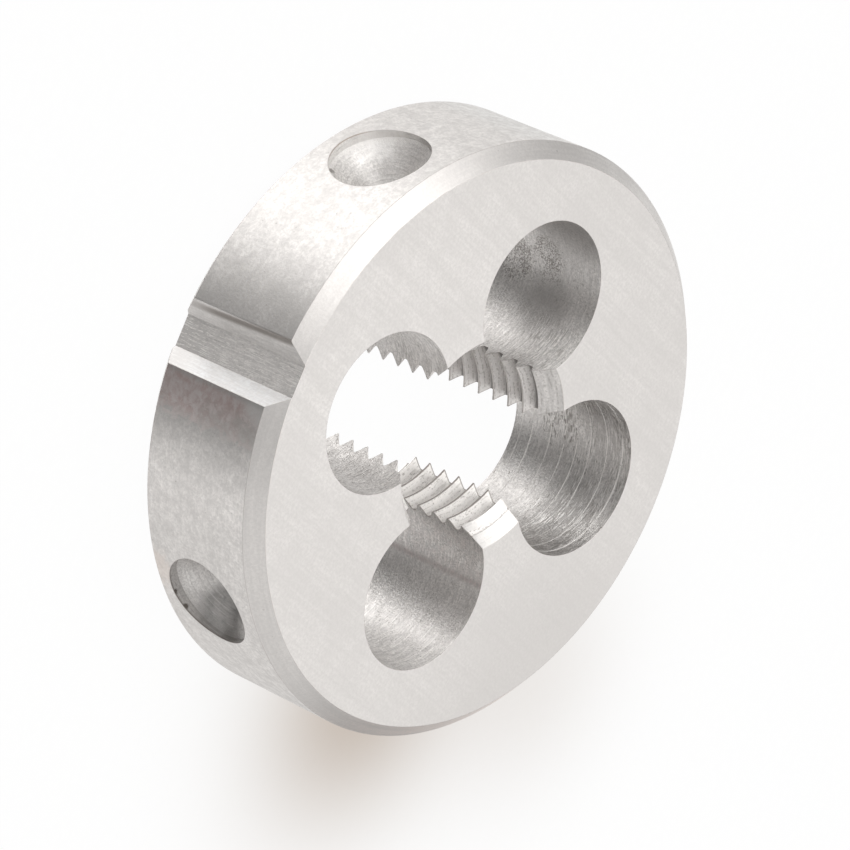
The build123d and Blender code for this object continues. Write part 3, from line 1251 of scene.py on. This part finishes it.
def studio_camera():
    """Looks down on the die from beyond its setting groove, with the die's axis lying over to the left."""
    towards = Vector((0.0436379, 0.77026673, -0.63622708))
    right = Vector((-0.37692735, 0.60246324, 0.70353665))
    down = Vector((0.9252143, 0.20911053, 0.31662482))
    place = Vector((-13.63089186, -245.29894032, 207.71271297)) * MM
    lens = bpy.data.cameras.new("studio_camera")
    lens.sensor_width = 36
    lens.lens = 221.3
    lens.clip_start = 0.01
    camera = bpy.data.objects.new("studio_camera", lens)
    camera.matrix_world = Matrix.Translation(place) @ Matrix((right, -down, -towards)).transposed().to_4x4()
    bpy.context.scene.collection.objects.link(camera)
    bpy.context.scene.camera = camera


# Soft light from all round. Each screen has a heading, a height in degrees, how tight it is,
# and how many stops of light it adds, or takes away where it is dark
EVEN_LIGHT = 0.793
SCREENS = {
    "bright_left": (-129, -15, 56, 2.17),
    "dark_opening": (-75, -44, 26, -2.96),
    "ceiling": (160, 67, 8.8, 2.6),
    "low_left": (-160, -56, 43, 1.99),
    "dark_front": (-74, 14, 22, -3.15),
    "dim_far_side": (54, 3, 38, -1.78),
    "dark_table": (-122, -74, 39, -4.35),
    "front_lamp": (-47, -10, 77, 2.33),
    "dim_back": (131, 32, 20.8, -2.23),
    "low_back": (110, -78, 8.5, 1.49),
    "left_lamp": (-151, 11, 41, 0.48),
    "upper_back": (90, 40, 25, 0.53),
    "dim_above": (0, 90, 20, -0.9),
}
LIGHT_COLOUR = (1.0, 0.99, 0.975, 1.0)
BACKDROP = 0.97


def studio_light():
    world = bpy.data.worlds.new("studio_light")
    world.use_nodes = True
    bpy.context.scene.world = world
    net = Nodes(world.node_tree)
    direction = net.value("TexCoord", {}, "Generated")
    stops = math.log2(EVEN_LIGHT)
    for degrees, rise, tightness, strength in SCREENS.values():
        lift = math.radians(rise)
        towards = heading(degrees)[0] * math.cos(lift) + Vector((0, 0, math.sin(lift)))
        facing = net.vector("DOT_PRODUCT", direction, towards, "Value")
        stops = net.maths("POWER", (facing + 1) * 0.5, tightness) * strength + stops
    seen = net.value("LightPath", {}, "Is Camera Ray")
    inputs = {"Factor": seen, "A": net.maths("POWER", 2, stops), "B": BACKDROP}
    background = net.tree.nodes["Background"]
    background.inputs["Color"].default_value = LIGHT_COLOUR
    net.give(background.inputs["Strength"], net.value("Mix", inputs, "Result", data_type="FLOAT"))
    world.cycles.sampling_method = "MANUAL"
    world.cycles.sample_map_resolution = 512


# The die's soft shadow, painted into the floor's glow: each patch's middle, its spread and its depth
SHADES = {"under_the_rim": (18.4, 10.3, 6.3, 0.48), "beside": (14.1, 26.2, 5.7, 0.16)}
SHADE_CHANNELS = (0.86, 1.0, 1.12)
FLOOR_HALF = 1.5
FLOOR_GLOW = 0.975
FLOOR_GRAIN = 0.006


def pale_floor():
    """A plain pale floor. It glows like a light table, with the die's shadow painted into its glow, and
    keeps out of the steel's reflections.
    """
    data = bpy.data.meshes.new("floor")
    corners = [(FLOOR_HALF * x, FLOOR_HALF * y, 0) for x, y in ((-1, -1), (1, -1), (1, 1), (-1, 1))]
    data.from_pydata(corners, [], [(0, 1, 2, 3)])
    floor = bpy.data.objects.new("floor", data)
    bpy.context.scene.collection.objects.link(floor)
    material = bpy.data.materials.new("pale_floor")
    material.use_nodes = True
    net = Nodes(material.node_tree)
    paper = net.tree.nodes["Principled BSDF"].inputs
    paper["Roughness"].default_value = 0.9
    paper["Specular IOR Level"].default_value = 0.0
    paper["Base Color"].default_value = (0.02, 0.02, 0.02, 1.0)
    paper["Emission Strength"].default_value = 1.0
    place = net.in_mm()
    shade = 0.0
    for x, y, spread, depth in SHADES.values():
        away = net.maths("POWER", net.distance(place, (x, y, 0)), 2)
        shade = net.maths("EXPONENT", away * (-0.5 / spread**2)) * depth + shade
    outside = net.eased(net.distance(place), BODY_RADIUS - 6, BODY_RADIUS)
    shade = shade * outside + net.eased(net.noise(place, 1.5, 3), 0.2, 0.8, 0, FLOOR_GRAIN)
    glow = {channel: FLOOR_GLOW - shade * share for channel, share in enumerate(SHADE_CHANNELS)}
    net.give(paper["Emission Color"], net.value("CombineColor", glow))
    data.materials.append(material)
    floor.visible_glossy = False
    floor.visible_diffuse = False


studio_camera()
studio_light()
pale_floor()
bpy.context.scene.view_settings.view_transform = "Standard"
